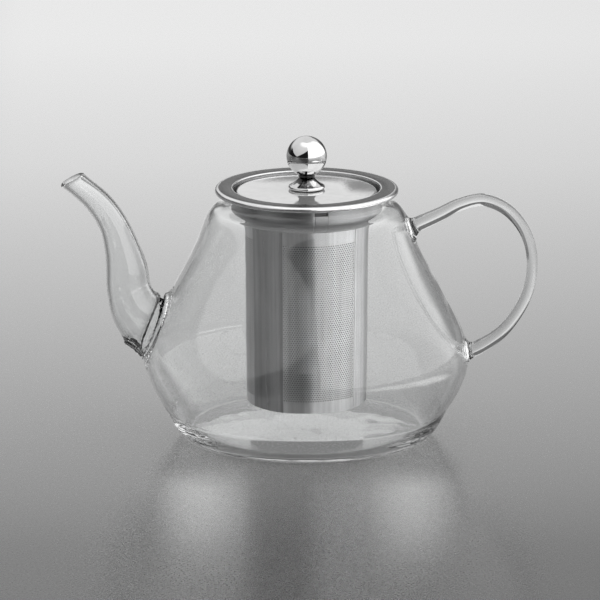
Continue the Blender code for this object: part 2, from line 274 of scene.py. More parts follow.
def skinned(rings, looped=False):
    """Points and faces of a skin through rings of points, closed by end caps or as a loop."""
    count = len(rings[0])
    points = [tuple(p) for ring in rings for p in ring]
    faces = []
    for i in range(len(rings) if looped else len(rings) - 1):
        low, high = i * count, (i + 1) % len(rings) * count
        for k in range(count):
            n = (k + 1) % count
            faces.append((low + k, low + n, high + n, high + k))
    if not looped:
        faces.append(tuple(range(count)))
        faces.append(tuple(range(len(points) - count, len(points))))
    return points, faces


def add_object(name, data):
    obj = bpy.data.objects.new(name, data)
    bpy.context.scene.collection.objects.link(obj)
    return obj


def shade(mesh, sharp=None):
    """Smooth shading, apart from edges sharper than an angle in degrees."""
    mesh.shade_smooth()
    if sharp is not None:
        mesh.set_sharp_from_angle(angle=radians(sharp))


def round_axis(radius, angle, height):
    """The place at a radius from the axis and an angle from the front, towards the handle."""
    return radius * np.sin(angle), -radius * np.cos(angle), height


def add_mesh(name, points, faces, sharp=None):
    """A smooth-shaded object from points in millimetres, its faces turned out."""
    mesh = bpy.data.meshes.new(name)
    mesh.from_pydata((np.array(points, float) * MM).tolist(), [], faces)
    builder = bmesh.new()
    builder.from_mesh(mesh)
    bmesh.ops.recalc_face_normals(builder, faces=builder.faces)
    builder.to_mesh(mesh)
    builder.free()
    shade(mesh, sharp)
    return add_object(name, mesh)


def turned(name, profile, steps, closed=True, sharp=40):
    return add_mesh(name, *revolved(profile, steps, closed), sharp)


def combine(piece, other, operation):
    """Joins or cuts the piece with another closed mesh, which is used up."""
    modifier = piece.modifiers.new("combine", "BOOLEAN")
    modifier.operation = operation
    modifier.solver = "MANIFOLD"
    modifier.object = other
    depsgraph = bpy.context.evaluated_depsgraph_get()
    result = bpy.data.meshes.new_from_object(piece.evaluated_get(depsgraph))
    piece.modifiers.clear()
    before = piece.data
    piece.data = result
    bpy.data.meshes.remove(before)
    result.name = piece.name
    bpy.data.objects.remove(other)


def finish_piece(obj, body, nodes, material):
    obj.data.materials.clear()
    obj.data.materials.append(material)
    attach(obj, body)
    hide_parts(*nodes)


# -------- glass


def nearest(points, path):
    """For each point and each segment of a path, the share along it and the distance."""
    starts, spans = path[:-1], np.diff(path, axis=0)
    away = points[:, None, :] - starts[None, :, :]
    shares = np.clip((away * spans).sum(2) / (spans**2).sum(1), 0, 1)
    distances = np.linalg.norm(away - shares[..., None] * spans, axis=2)
    return shares, distances


def profile_field(points, profile):
    """Signed distance to a turned outline, negative on the side of the axis."""
    flat = np.column_stack([np.hypot(points[:, 0], points[:, 1]), points[:, 2]])
    path = np.array(profile)
    _, distances = nearest(flat, path)
    best = distances.argmin(1)
    rows = np.arange(len(flat))
    spans = np.diff(path, axis=0)[best]
    away = flat - path[:-1][best]
    turn = spans[:, 0] * away[:, 1] - spans[:, 1] * away[:, 0]
    return -np.sign(turn) * distances[rows, best]


def pipe_field(points, centres, radii):
    """Signed distance to a round pipe whose radius changes along its path."""
    shares, distances = nearest(points, centres)
    widths = radii[:-1] + shares * np.diff(radii)
    return (distances - widths).min(1)


def strap_field(points, centres, scales):
    """Signed distance to the handle's rounded-oblong strap."""
    shares, distances = nearest(points, centres)
    best = distances.argmin(1)
    rows = np.arange(len(points))
    share = shares[rows, best][:, None]
    away = points - (centres[:-1][best] * (1 - share) + centres[1:][best] * share)
    ways = np.gradient(centres, axis=0)
    ways = ways[:-1][best] * (1 - share) + ways[1:][best] * share
    ways /= np.linalg.norm(ways, axis=1)[:, None]
    thickness = np.abs(away[:, 0] * -ways[:, 2] + away[:, 2] * ways[:, 0])
    scale = scales[:-1][best] + share[:, 0] * np.diff(scales)[best]
    u = thickness - HANDLE_THICKNESS / 2 * scale + HANDLE_CORNER
    v = np.abs(away[:, 1]) - HANDLE_WIDTH / 2 * scale + HANDLE_CORNER
    outside = np.hypot(np.maximum(u, 0), np.maximum(v, 0))
    return outside + np.minimum(np.maximum(u, v), 0) - HANDLE_CORNER


def pad_frame(tilt):
    """Directions out of the wall, along it and across it, for a wall that leans by tilt."""
    return np.array([(cos(tilt), 0, sin(tilt)), (-sin(tilt), 0, cos(tilt)), (0, 1, 0)])


def pad_field(points, pad):
    (x, z), tilt, sizes = pad
    local = (points - np.array((x, 0, z))) @ pad_frame(tilt).T
    return (np.linalg.norm(local / np.array(sizes), axis=1) - 1) * min(sizes)


def fused(a, b, fillet):
    """The union of two fields with a rounded joint."""
    overlap = np.maximum(fillet - np.abs(a - b), 0) / fillet
    return np.minimum(a, b) - overlap**2 * fillet / 4


class Glass:
    """The outlines and paths that the fused vessel is made of."""

    outer = outer_profile()
    inner = inner_profile(outer)
    spout = smooth_path(SPOUT_STATIONS, SPOUT_SPAN_STEPS)
    spout_centres = np.column_stack([spout[:, 0], np.zeros(len(spout)), spout[:, 1]])
    spout_radii = spout[:, 2]
    handle = smooth_path(HANDLE_STATIONS, HANDLE_SPAN_STEPS)
    handle_centres = np.column_stack([handle[:, 0], np.zeros(len(handle)), handle[:, 1]])
    ends = np.minimum(np.arange(len(handle)), np.arange(len(handle))[::-1])
    handle_scales = 1 + HANDLE_FLARE * np.exp(-((ends / (1.4 * HANDLE_SPAN_STEPS)) ** 2))


def outside_field(points):
    field = profile_field(points, Glass.outer)
    for pad in HANDLE_PADS:
        field = fused(field, pad_field(points, pad), PAD_FILLET)
    strap = strap_field(points, Glass.handle_centres, Glass.handle_scales)
    field = fused(field, strap, HANDLE_FILLET)
    pipe = pipe_field(points, Glass.spout_centres, Glass.spout_radii)
    return fused(field, pipe, SPOUT_FILLET)


def inside_field(points):
    field = profile_field(points, Glass.inner)
    bore = pipe_field(points, Glass.spout_centres, Glass.spout_radii - SPOUT_WALL)
    return fused(field, bore, BORE_FILLET)


def slope(field, points):
    """Unit-length uphill direction and steepness of a field."""
    step = 0.02
    parts = []
    for axis in np.eye(3) * step:
        parts.append((field(points + axis) - field(points - axis)) / (2 * step))
    uphill = np.column_stack(parts)
    steepness = np.linalg.norm(uphill, axis=1)
    return uphill / np.maximum(steepness, 1e-6)[:, None], steepness


def settled(field, points, rounds):
    """The points moved on to the surface where the field is zero."""
    for _ in range(rounds):
        ways, steepness = slope(field, points)
        moves = field(points) / np.maximum(steepness, 0.3)
        points = points - ways * np.clip(moves, -1.5, 1.5)[:, None]
    return points


def vessel_shell():
    half_wall = WALL / 2
    rim = arc((NECK_RADIUS - half_wall, RIM_TOP - half_wall), half_wall, 0, 180, 14)
    base = [(radius, 0.0) for radius in np.linspace(0, BASE_FLAT_RADIUS, 13)[:-1]]
    floor_edge = Glass.inner[0][0]
    floor = [(r, FLOOR_THICKNESS) for r in np.linspace(0, floor_edge, 13)[:-1]]
    profile = [*base, *Glass.outer, *rim, *reversed(Glass.inner), *reversed(floor)]
    return turned("glass_vessel", profile, VESSEL_STEPS, closed=False, sharp=None)


def middle_of_wall():
    """A closed body whose skin runs down the middle of the wall, for trimming what joins it."""
    middle = offset_left(Glass.outer, [WALL / 2] * len(Glass.outer))
    top = (middle[-1][0], RIM_TOP)
    profile = [(0.0, WALL / 2), *middle, top, (0.0, RIM_TOP)]
    return turned("middle", profile, VESSEL_STEPS, closed=False)


def spout_rings(inset, side, overshoot):
    """Rings along the spout, inset from its outside, with half of its rounded lip at the mouth.

    side is 1 for the outer half of the lip and -1 for the bore's half.
    """
    path, radii = Glass.spout_centres, Glass.spout_radii
    ways = np.gradient(path, axis=0)
    count = len(path)
    last = 2 * SPOUT_SPAN_STEPS
    rings = []
    for i, (centre, way, radius) in enumerate(zip(path, ways, radii)):
        share = max(0.0, 1 - (count - 1 - i) / last)
        turn = atan2(way[2], way[0]) - MOUTH_TILT * share**2 * (3 - 2 * share)
        bead = MOUTH_BEAD * share**6
        centre = centre + np.array((-MOUTH_REACH * share**3, 0, 0))
        rings.append((centre, turn, radius + bead - inset - (BEAD_IN_WALL * bead if side < 0 else 0)))
    centre, turn, radius = rings[-1]
    half = (SPOUT_WALL + BEAD_IN_WALL * MOUTH_BEAD) / 2
    middle = radius - side * half
    out = np.array((cos(turn), 0, sin(turn)))
    for a in np.radians((20, 40, 60, 78, 90)):
        rings.append((centre + out * half * sin(a), turn, middle + side * half * cos(a)))
    if overshoot:
        rings.append((centre + out * (half + overshoot), turn, middle + 0.15))
    angles = 2 * pi * np.arange(SPOUT_SIDES) / SPOUT_SIDES
    made = []
    for centre, turn, radius in rings:
        across = np.array((-sin(turn), 0, cos(turn)))
        sideways = np.array((0, 1, 0))
        made.append([centre + radius * (across * cos(a) + sideways * sin(a)) for a in angles])
    return made


def handle_rings():
    """Rounded-oblong rings along the handle."""
    ways = np.gradient(Glass.handle_centres, axis=0)
    rings = []
    for centre, way, scale in zip(Glass.handle_centres, ways, Glass.handle_scales):
        turn = atan2(way[2], way[0])
        across = np.array((-sin(turn), 0, cos(turn)))
        ring = []
        for angle in 2 * pi * (np.arange(HANDLE_SIDES) + 0.5) / HANDLE_SIDES:
            u = (HANDLE_THICKNESS / 2 * scale - HANDLE_CORNER) * np.sign(cos(angle))
            v = (HANDLE_WIDTH / 2 * scale - HANDLE_CORNER) * np.sign(sin(angle))
            u += HANDLE_CORNER * cos(angle)
            v += HANDLE_CORNER * sin(angle)
            ring.append(centre + across * u + np.array((0, v, 0)))
        rings.append(ring)
    return rings


def pad_body(name, pad):
    """An ellipsoid of fused glass under one end of the handle."""
    (x, z), tilt, sizes = pad
    profile = [(0.0, -1.0), *arc((0.0, 0.0), 1.0, -80, 80, 16), (0.0, 1.0)]
    points, faces = revolved(profile, 32, closed=False)
    local = np.array(points)[:, [2, 0, 1]] * np.array(sizes)
    placed = local @ pad_frame(tilt) + np.array((x, 0, z))
    return add_mesh(name, placed, faces)


def refine_joints(mesh, centres, reach, longest):
    """Splits long edges near the joints, so that their fillets have enough points."""
    builder = bmesh.new()
    builder.from_mesh(mesh)
    bmesh.ops.triangulate(builder, faces=builder.faces)
    for limit in (2 * longest, longest, longest):
        near = []
        for edge in builder.edges:
            middle = (edge.verts[0].co + edge.verts[1].co) / 2
            if edge.calc_length() > limit * MM and joint_distance(middle, centres) < reach:
                near.append(edge)
        bmesh.ops.subdivide_edges(builder, edges=near, cuts=1)
        bmesh.ops.triangulate(builder, faces=builder.faces)
    builder.to_mesh(mesh)
    builder.free()


def joint_distance(place, centres):
    """How far a place is outside the nearest joint's ball, in millimetres."""
    return min((place / MM - centre).length - radius for centre, radius in centres)


def make_glass_vessel(material):
    vessel = vessel_shell()
    spout = add_mesh("spout", *skinned(spout_rings(0.0, 1, 0.0)))
    bore = add_mesh("bore", *skinned(spout_rings(SPOUT_WALL, -1, 0.6)))
    handle = add_mesh("handle", *skinned(handle_rings()))
    added = [spout, handle]
    added += [pad_body(f"pad_{i}", pad) for i, pad in enumerate(HANDLE_PADS)]
    for piece in added:
        combine(piece, middle_of_wall(), "DIFFERENCE")
        combine(vessel, piece, "UNION")
    combine(vessel, bore, "DIFFERENCE")
    centres = [(Vector((x, 0, z)), max(sizes)) for (x, z), _, sizes in HANDLE_PADS]
    centres.append(SPOUT_JOINT)
    refine_joints(vessel.data, centres, JOINT_REACH, JOINT_EDGE)
    round_joints(vessel.data, centres)
    finish_piece(vessel, "vessel", ["glass_body", "glass_spout", "glass_handle"],
                 material)


def round_joints(mesh, centres):
    """Moves the points near the joints on to the fused surface, and shades them with its slope."""
    count = len(mesh.vertices)
    flat = np.zeros(count * 3, np.float32)
    mesh.vertices.foreach_get("co", flat)
    points = flat.reshape(-1, 3).astype(float) / MM
    distances = [np.linalg.norm(points - np.array(c), axis=1) - r for c, r in centres]
    near = np.min(distances, axis=0) < ROUNDED_REACH
    some = points[near]
    out_distance, in_distance = np.abs(outside_field(some)), np.abs(inside_field(some))
    is_out = out_distance < in_distance
    moved = some.copy()
    moved[is_out] = settled(outside_field, some[is_out], 3)
    moved[~is_out] = settled(inside_field, some[~is_out], 3)
    shades = np.zeros_like(some)
    shades[is_out] = slope(outside_field, moved[is_out])[0]
    shades[~is_out] = -slope(inside_field, moved[~is_out])[0]
    points[near] = moved
    mesh.vertices.foreach_set("co", (points * MM).astype(np.float32).ravel())
    mesh.update()
    normals = np.array([v.normal for v in mesh.vertices])
    normals[near] = shades
    mesh.normals_split_custom_set_from_vertices(normals.tolist())


# -------- infuser


LEVELS = {}


def levels(node):
    """Outer radius, lowest and highest level of a round CAD node, in millimetres."""
    if node not in LEVELS:
        low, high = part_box(node)
        LEVELS[node] = (high.x / MM, low.z / MM, high.z / MM)
    return LEVELS[node]


def tube_radius(height):
    """The tube's outer radius: it narrows a little towards its floor."""
    top_radius, bottom, top = levels("infuser_tube")
    share = (height - bottom) / (top - bottom)
    return TUBE_BOTTOM_RADIUS + (top_radius - TUBE_BOTTOM_RADIUS) * share


def perforated_grid(columns, heights, first_row, last_row):
    """Corner and hole points of a sheet in a brick pattern, as (column, height) pairs.

    Its cells are a column wide, with every second row shifted by half a column. Returns the
    points, the faces of the front, each hole's rim and the sheet's border.
    """
    count = 2 * columns + 1
    points = [(k / 2, h) for h in heights for k in range(count)]
    faces, rims = [], []
    angles = np.radians((210, 270, 330, 30, 90, 150))
    for row in range(len(heights) - 1):
        low, high = row * count, (row + 1) * count
        shift = row % 2
        is_plain = not first_row <= row < last_row
        ends = (0, count - 2) if shift else ()
        for k in range(count - 1) if is_plain else ends:
            faces.append((low + k, low + k + 1, high + k + 1, high + k))
        if is_plain:
            continue
        middle = (heights[row] + heights[row + 1]) / 2
        for k in range(shift, count - 2, 2):
            centre = (k + 1) / 2
            hole = list(range(len(points), len(points) + 6))
            points += [(centre + HOLE_RADIUS / PITCH * cos(a), middle + HOLE_RADIUS * sin(a))
                       for a in angles]
            outline = (low + k, low + k + 1, low + k + 2, high + k + 2, high + k + 1, high + k)
            for i in range(6):
                j = (i + 1) % 6
                faces.append((outline[i], outline[j], hole[j], hole[i]))
            rims.append(hole)
    return points, faces, rims, grid_border(count, len(heights))


def thick_sheet(points, faces, rims, border, place):
    """Both sides of a flat pattern placed in space, with the walls of its holes and its edge."""
    count = len(points)
    flat = np.array(points, float)
    placed = np.vstack([place(flat, 0.0), place(flat, 1.0)])
    made = list(faces)
    made += [tuple(count + i for i in reversed(face)) for face in faces]
    for loop in [*rims, border]:
        for a, b in zip(loop, loop[1:] + loop[:1]):
            made.append((a, b, b + count, a + count))
    return placed, made


def grid_border(count, rows):
    """The edge of a grid of points, once round."""
    bottom = list(range(count))
    right = [row * count + count - 1 for row in range(1, rows)]
    top = [(rows - 1) * count + k for k in range(count - 2, -1, -1)]
    left = [row * count for row in range(rows - 2, 0, -1)]
    return bottom + right + top + left


def panel_heights(bottom, top):
    """Levels of the sheet: plain bands below and above, and a row of cells for each pitch."""
    row = PITCH * 3**0.5 / 2
    rows = round((PERFORATED_TOP - PERFORATED_BOTTOM) / row)
    middle = list(np.linspace(PERFORATED_BOTTOM, PERFORATED_TOP, rows + 1))
    below = list(np.linspace(bottom, PERFORATED_BOTTOM, 5)[:-1])
    above = list(np.linspace(PERFORATED_TOP, top, 7)[1:])
    return below + middle + above, len(below), len(below) + rows


def roll_sheet(name, first, last, columns, heights, rows, material, relief=None):
    """A stretch of the tube's sheet between two angles, with holes between two of its rows."""
    def place(flat, depth):
        angle = first + flat[:, 0] / columns * (last - first)
        radius = tube_radius(flat[:, 1]) - depth * TUBE_SHEET
        if relief and depth == 0.0:
            radius = radius + relief(angle, flat[:, 1])
        return np.column_stack(round_axis(radius, angle, flat[:, 1]))

    made = thick_sheet(*perforated_grid(columns, heights, *rows), place)
    obj = add_mesh(name, *made, sharp=50 if relief else 40)
    finish_piece(obj, "infuser", ["infuser_tube"], material)


def make_tube_panels(material):
    """The perforated sheet of the tube, in panels side by side round the basket."""
    _, bottom, top = levels("infuser_tube")
    heights, first_row, last_row = panel_heights(bottom, top)
    back = np.linspace(PLAIN_LAST, 2 * pi + SEAM_FIRST, PANELS)
    spans = [(SEAM_LAST, PLAIN_FIRST), *zip(back, back[1:])]
    for i, (first, last) in enumerate(spans):
        columns = round((last - first) * tube_radius((bottom + top) / 2) / PITCH)
        name = f"infuser_tube_panel_{i + 1}"
        roll_sheet(name, first, last, columns, heights, (first_row, last_row), material)


def seam_relief(angle, height):
    """How far the seam strip stands out from the tube: its lap and its spot welds."""
    _, bottom, top = levels("infuser_tube")
    share = (height - bottom) / (top - bottom)
    line = SEAM_LINE_BOTTOM + (SEAM_LINE_TOP - SEAM_LINE_BOTTOM) * share
    beside = (angle - line) * tube_radius(height)
    relief = SEAM_STEP * (beside > 0)
    relief -= GROOVE_DEPTH * np.exp(-((beside / SEAM_GROOVE) ** 2))
    near_weld = (height - bottom) % WELD_PITCH - WELD_PITCH / 2
    from_weld = np.hypot(beside - WELD_PLACE, near_weld)
    relief -= WELD_DEPTH * np.exp(-((from_weld / WELD_RADIUS) ** 2))
    edge = np.minimum(angle - SEAM_FIRST, SEAM_LAST - angle) * tube_radius(height)
    return relief * np.clip(edge / STRIP_FADE, 0, 1)


def groove_relief(angle, height):
    """A pressed line near the edge of the plain strip on the right."""
    beside = (angle - PLAIN_FIRST) * tube_radius(height) - MARGIN_GROOVE_PLACE
    return -GROOVE_DEPTH * np.exp(-((beside / MARGIN_GROOVE) ** 2))


def make_plain_strip(name, first, last, relief, material):
    """A strip of the tube without holes, between two of its perforated panels."""
    heights = np.linspace(*levels("infuser_tube")[1:], STRIP_ROWS + 1)
    roll_sheet(name, first, last, STRIP_COLUMNS, heights, (0, 0), material, relief)


def make_floor(material):
    """The basket's floor: a perforated disc in an upturned ring."""
    radius, bottom, top = levels("infuser_floor")
    disc_radius = radius - 3.0
    row = PITCH * 3**0.5 / 2
    rows = 2 * int(disc_radius / row) + 2
    columns = 2 * int(disc_radius / PITCH) + 2
    heights = list((np.arange(rows + 1) - rows / 2) * row)

    def place(flat, depth):
        level = np.full(len(flat), bottom + depth * TUBE_SHEET)
        return np.column_stack([(flat[:, 0] - columns / 2) * PITCH, flat[:, 1], level])

    made = thick_sheet(*perforated_grid(columns, heights, 0, rows), place)
    floor = add_mesh("infuser_floor_disc", *made, sharp=40)
    low, high = bottom - 1, bottom + 2
    disc = [(0.0, low), (disc_radius, low), (disc_radius, high), (0.0, high)]
    combine(floor, turned("disc", disc, 120, closed=False), "INTERSECT")
    corner = (radius - 1.0, bottom + 1.0)
    ring = [(disc_radius - 0.3, bottom), *arc(corner, 1.0, -90, 0, 6), (radius, top)]
    ring += [(radius - TUBE_SHEET, top), *arc(corner, 1.0 - TUBE_SHEET, 0, -90, 6)]
    ring += [(disc_radius - 0.3, bottom + TUBE_SHEET)]
    combine(floor, turned("ring", ring, 120), "UNION")
    finish_piece(floor, "infuser", ["infuser_floor"], material)


def make_flange(material):
    radius, _, top = levels("infuser_flange")
    underside = top - FLANGE_SHEET
    bead = (radius - FLANGE_BEAD, top - FLANGE_BEAD)
    edge = FLANGE_SHEET / 2
    profile = arc((FLANGE_BORE + edge, top - edge), edge, 270, 90, 10)
    flat = np.linspace(FLANGE_BORE + edge, bead[0], 10)[1:-1]
    profile += [(r, top - 0.12 * sin(pi * (r - flat[0]) / (flat[-1] - flat[0]))) for r in flat]
    profile += arc(bead, FLANGE_BEAD, 90, -201, 26)
    profile += [(bead[0] - FLANGE_BEAD - 0.4, underside)]
    obj = turned("infuser_flange_ring", profile[::-1], 200, sharp=50)
    finish_piece(obj, "infuser", ["infuser_flange"], material)


def collar_outline():
    """The collar's outside, from its top edge down to its lip on the tube."""
    radius, bottom, top = levels("infuser_collar")
    profile = [(radius, z) for z in np.linspace(top, COLLAR_BEND_TOP, 12)]
    return profile + bezier(profile[-1], *COLLAR_CURVE, (COLLAR_LIP_RADIUS, bottom), 14)


def collar_angles():
    """Angles round the collar from the front, close together near its seam and tongue."""
    fine = np.linspace(COLLAR_SEAM - 0.06, COLLAR_SEAM + COLLAR_TONGUE + 0.06, 120)
    coarse = np.linspace(fine[-1], fine[0] + 2 * pi, 200)[1:-1]
    return np.concatenate([fine, coarse])


def make_collar(material):
    """The collar: one strip rolled round, with a lapped end under a small slot."""
    outer = np.array(collar_outline())
    inner = np.array(offset_left(outer, [-COLLAR_SHEET] * len(outer)))
    angles = collar_angles()
    levels_down = np.linspace(0, 1, len(outer))
    rings = []
    for angle in angles:
        ring = []
        for (radius, height), share in zip(outer, levels_down):
            start = COLLAR_SEAM - COLLAR_SEAM_SLANT * max(0.0, share - 0.5)
            beside = (angle - start) * radius
            past = (angle - COLLAR_SEAM - COLLAR_TONGUE) * radius
            on_tongue = 1.0 if beside > 0 and past < 0 else 0.0
            groove = COLLAR_GROOVE * np.exp(-((beside / COLLAR_GROOVE) ** 2))
            ring.append(round_axis(radius - COLLAR_STEP * on_tongue - groove, angle, height))
        ring += [round_axis(radius, angle, height) for radius, height in inner[::-1]]
        rings.append(ring)
    obj = add_mesh("infuser_collar_band", *skinned(rings, looped=True), sharp=50)
    combine(obj, slot_cutter(), "DIFFERENCE")
    shade(obj.data, 50)
    finish_piece(obj, "infuser", ["infuser_collar"], material)


def slot_cutter():
    """A wedge through the collar's wall above the tongue."""
    radius, _, top = levels("infuser_collar")
    corners = [(radius - 4, COLLAR_SEAM), (radius + 4, COLLAR_SEAM)]
    corners += [(r, COLLAR_SEAM + COLLAR_TONGUE) for r, _ in reversed(corners)]
    rings = []
    for height in (COLLAR_SLOT_FOOT, top + 1):
        rings.append([round_axis(r, a, height) for r, a in corners])
    return add_mesh("slot_cutter", *skinned(rings))


# -------- lid


def make_lid(material):
    radius, bottom, top = levels("lid_cover")
    corner = (radius - LID_CORNER, LID_EDGE - LID_CORNER)
    dome = [(r, top) for r in (SCREW_BORE, SCREW_BORE + 0.3)]
    dome += [(LID_FLAT_RADIUS - 0.5, top), (LID_FLAT_RADIUS, top)]
    dome += bezier(dome[-1], *LID_CURVE, (corner[0], LID_EDGE), 24)
    inner = [(radius - LID_SHEET, bottom)]
    inner += arc(corner, LID_CORNER - LID_SHEET, 0, 90, 6)
    inner += [(r, z - LID_SHEET) for r, z in reversed(dome[:-1])]
    outer = [*dome[:-1], *arc(corner, LID_CORNER, 90, 0, 10)]
    outer += [(radius, z) for z in np.linspace(corner[1], bottom, 8)[1:]]
    obj = turned("lid_cover_shell", [*outer, *inner], 200, sharp=50)
    finish_piece(obj, "lid", ["lid_cover"], material)


def make_knob(material):
    radius, bottom, top = levels("knob_foot")
    edge = arc((radius - FOOT_EDGE / 2, bottom + FOOT_EDGE / 2), FOOT_EDGE / 2, -90, 60, 10)
    cone = bezier(edge[-1], *FOOT_CURVE, (NECK_OF_KNOB_RADIUS - 0.25, top), 16)
    profile = [(SCREW_BORE, bottom), *edge, *cone, (SCREW_BORE, top)]
    foot = turned("knob_foot_flare", profile, 96, sharp=60)
    finish_piece(foot, "lid", ["knob_foot"], material)

    ball_radius, ball_bottom, ball_top = levels("knob_ball")
    centre = ball_top - ball_radius
    neck = NECK_OF_KNOB_RADIUS
    start = -90 + np.degrees(atan2(neck, centre - ball_bottom))
    sphere = arc((0.0, centre), ball_radius, start + 3, 90, 64)
    sphere[-1] = (0.0, ball_top)
    hole = SCREW_RADIUS + 0.2
    hole_end = levels("knob_screw")[2] + 0.3
    profile = [(0.0, hole_end), (hole, hole_end), (hole, ball_bottom)]
    profile += [(neck - 0.2, ball_bottom), (neck, ball_bottom + 0.2), *sphere]
    ball = turned("knob_ball_body", profile, 128, closed=False, sharp=50)
    finish_piece(ball, "lid", ["knob_ball"], material)


def make_fastener(material):
    """The slotted screw with its thread's ridges, and the washer under the lid."""
    radius, bottom, top = levels("knob_washer")
    bore, ease = SCREW_BORE, 0.15
    profile = [(bore, bottom + ease), (bore + ease, bottom), (radius - ease, bottom)]
    profile += [(radius, bottom + ease), (radius, top - ease), (radius - ease, top)]
    profile += [(bore + ease, top), (bore, top - ease)]
    washer = turned("knob_washer_ring", profile, 64)
    finish_piece(washer, "lid", ["knob_washer"], material)

    _, crown, tip = levels("knob_screw")
    seat = crown + SCREW_HEAD_HEIGHT
    profile = [(0.0, crown), (SCREW_HEAD_RADIUS - 0.9, crown)]
    profile += arc((SCREW_HEAD_RADIUS - 0.9, crown + 0.9), 0.9, -80, 0, 8)
    profile += [(SCREW_HEAD_RADIUS, seat), (SCREW_RADIUS, seat)]
    turns = int((tip - 1.0 - seat) / THREAD_PITCH)
    for i in range(turns):
        foot = seat + 0.3 + i * THREAD_PITCH
        profile += [(SCREW_RADIUS - THREAD_DEPTH, foot), (SCREW_RADIUS, foot + THREAD_PITCH / 2)]
    profile += [(SCREW_RADIUS - 0.5, tip), (0.0, tip)]
    screw = turned("knob_screw_body", profile, 48, closed=False)
    reach = SCREW_HEAD_RADIUS + 1
    corners = ((-reach, -0.45), (reach, -0.45), (reach, 0.45), (-reach, 0.45))
    rings = [[(x, y, z) for x, y in corners] for z in (crown - 1, crown + 1)]
    combine(screw, add_mesh("driver_slot", *skinned(rings)), "DIFFERENCE")
    shade(screw.data, 35)
    finish_piece(screw, "lid", ["knob_screw"], material)


# -------- materials


class Nodes:
    """A short way to build a node tree."""

    def __init__(self, tree):
        self.tree = tree

    def fill(self, node, inputs):
        """Sets a node's inputs, each from a value or from another node's output."""
        for key, value in inputs.items():
            if isinstance(value, bpy.types.NodeSocket):
                self.tree.links.new(value, node.inputs[key])
            else:
                node.inputs[key].default_value = value

    def add(self, kind, inputs=None, **settings):
        node = self.tree.nodes.new(kind)
        for key, value in settings.items():
            setattr(node, key, value)
        self.fill(node, inputs or {})
        return node

    def math(self, operation, a, b=0.0, c=0.0):
        return self.add("ShaderNodeMath", {0: a, 1: b, 2: c}, operation=operation).outputs[0]

    def product(self, value, *others):
        for other in others:
            value = self.math("MULTIPLY", value, other)
        return value

    def vector(self, operation, a, b=(0, 0, 0), output="Vector"):
        return self.add("ShaderNodeVectorMath", {0: a, 1: b}, operation=operation).outputs[output]

    def axes(self, vector):
        return self.add("ShaderNodeSeparateXYZ", {0: vector}).outputs

    def grey(self, tone):
        return self.add("ShaderNodeCombineColor", {0: tone, 1: tone, 2: tone}).outputs[0]

    def mixed(self, share, first, second):
        """The first value where share is 0, the second where it is 1."""
        inputs = {0: share, 2: first, 3: second}
        return self.add("ShaderNodeMix", inputs, data_type="FLOAT").outputs[0]

    def ramp(self, value, low, high, to_low=0.0, to_high=1.0, smooth=True):
        inputs = {"Value": value, "From Min": low, "From Max": high}
        inputs.update({"To Min": to_low, "To Max": to_high})
        kind = "SMOOTHSTEP" if smooth else "LINEAR"
        return self.add("ShaderNodeMapRange", inputs, interpolation_type=kind).outputs[0]

    def noise(self, scale, detail=3.0, vector=None, w=None, stretch=None):
        inputs = {"Scale": scale, "Detail": detail}
        if w is not None:
            inputs["W"] = w
            return self.add("ShaderNodeTexNoise", inputs, noise_dimensions="1D").outputs["Fac"]
        if stretch is not None:
            stretched = self.add("ShaderNodeMapping", {"Vector": vector, "Scale": stretch})
            vector = stretched.outputs[0]
        inputs["Vector"] = vector
        return self.add("ShaderNodeTexNoise", inputs).outputs["Fac"]

    def bump(self, height, distance, strength=1.0, normal=None):
        inputs = {"Height": height, "Distance": distance, "Strength": strength}
        if normal is not None:
            inputs["Normal"] = normal
        return self.add("ShaderNodeBump", inputs).outputs["Normal"]


def new_material(name):
    material = bpy.data.materials.new(name)
    material.use_nodes = True
    nodes = Nodes(material.node_tree)
    shader = material.node_tree.nodes["Principled BSDF"]
    place = nodes.add("ShaderNodeTexCoord").outputs["Object"]
    return material, nodes, shader, place


def glass_material():
    """Clear borosilicate with the faint waves of lamp-worked glass."""
    material, nodes, shader, place = new_material("clear_glass")
    nodes.fill(shader, {
        "Base Color": (0.985, 0.99, 0.99, 1),
        "Transmission Weight": 1.0,
        "Roughness": 0.0,
        "IOR": 1.47,
        "Specular IOR Level": 0.25,
        "Normal": nodes.bump(nodes.noise(55.0, 1.0, place), 0.0004, 0.5),
    })
    return material


def axis_distance(nodes, place):
    """Distance of a point from the teapot's axis."""
    return nodes.vector("LENGTH", nodes.vector("MULTIPLY", place, (1, 1, 0)), output="Value")


def painted_inward_shade(nodes, place):
    """Darkens with painted shade the faces that look towards the teapot's axis: the inside of the
    tube.
    """
    normal = nodes.add("ShaderNodeNewGeometry").outputs["Normal"]
    away = nodes.vector("NORMALIZE", nodes.vector("MULTIPLY", place, (1, 1, 0)))
    facing = nodes.vector("DOT_PRODUCT", normal, away, "Value")
    return nodes.ramp(facing, 0.2, 0.6, INSIDE_SHADE_TONE, 1.0)


def painted_flat_shade(nodes, place):
    """Darkens the flange's flat with painted shade. Its bead and bore keep the steel's full tone."""
    away = axis_distance(nodes, place)
    inside, outside = SHADED_FLAT
    unshaded = nodes.math("ADD", nodes.ramp(away, inside + SHADED_FLAT_EDGE, inside),
                           nodes.ramp(away, outside - SHADED_FLAT_EDGE, outside))
    return nodes.mixed(unshaded, FLAT_SHADE_TONE, 1.0)


